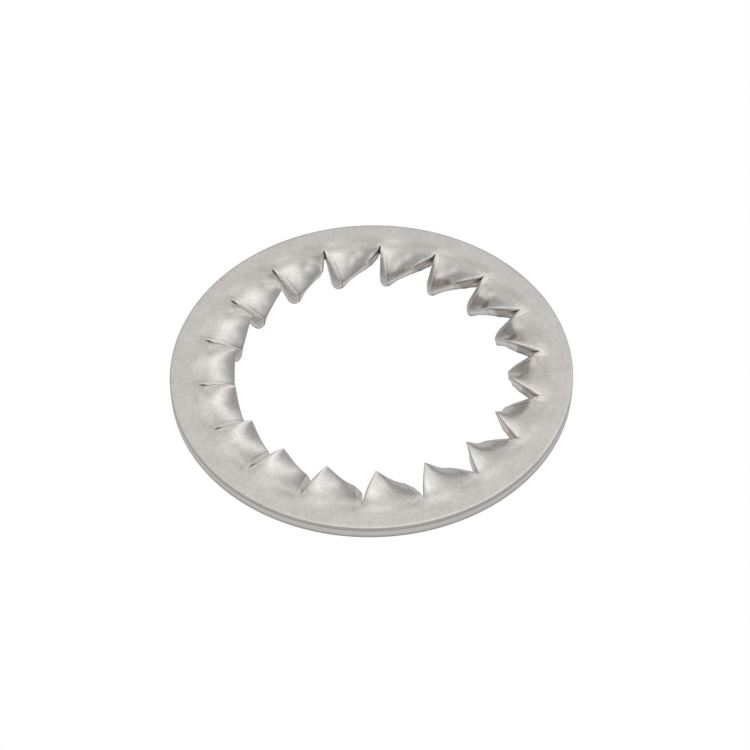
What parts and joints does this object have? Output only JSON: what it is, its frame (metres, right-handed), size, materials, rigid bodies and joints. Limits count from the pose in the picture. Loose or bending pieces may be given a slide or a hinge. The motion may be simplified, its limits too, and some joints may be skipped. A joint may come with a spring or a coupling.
{
  "type": "internal tooth lock washer",
  "caption": "Flat steel ring whose inner edge is slit into twisted serrated teeth that bite under a screw head or nut to stop it turning loose.",
  "frame": {"origin": "on the washer's axis, at the level of the lowest tooth corners that it rests on", "axes": "+Z along the washer's axis, up from the surface that it lies on; one tooth points along +X"},
  "size_m": [0.048, 0.048, 0.005],
  "materials": {
    "steel": "matt tumbled stainless steel, bright where the teeth are formed"
  },
  "bodies": {
    "root": {"lock_washer": "steel"}
  },
  "joints": []
}
